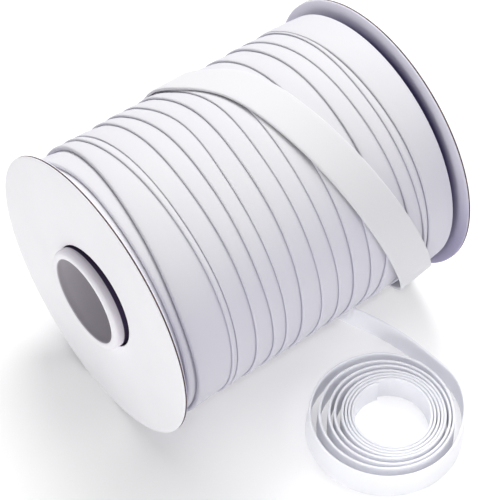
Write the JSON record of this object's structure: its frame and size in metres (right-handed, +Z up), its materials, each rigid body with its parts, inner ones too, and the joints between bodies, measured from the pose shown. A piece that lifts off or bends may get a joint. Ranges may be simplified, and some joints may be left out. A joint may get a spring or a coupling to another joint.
{
  "type": "roll of bias tape on a cardboard spool",
  "caption": "Flanged spool on its side, wound with flat folded fabric tape whose turns overlap; a crossing turn hangs loose and the free end lies coiled on its edge beside it.",
  "frame": {"origin": "on the surface, under the middle of the spool and its coiled loose end together", "axes": "+X along the spool's axis from the front flange, the one nearer to the picture's viewer, to the rear one; -Y from the spool towards the coil; +Z up"},
  "size_m": [0.1202, 0.1448, 0.0978],
  "materials": {
    "tape": "white plain-woven cotton blend, pressed and folded",
    "board": "white paper on both faces of a thin board, its cut edge darker",
    "tube": "smooth white tube, its bore grey"
  },
  "bodies": {
    "root": {"core_tube": "tube", "front_flange": "board", "rear_flange": "board", "wound_tape": "tape", "crossing_turn": "tape", "loose_end": "tape"}
  },
  "joints": []
}
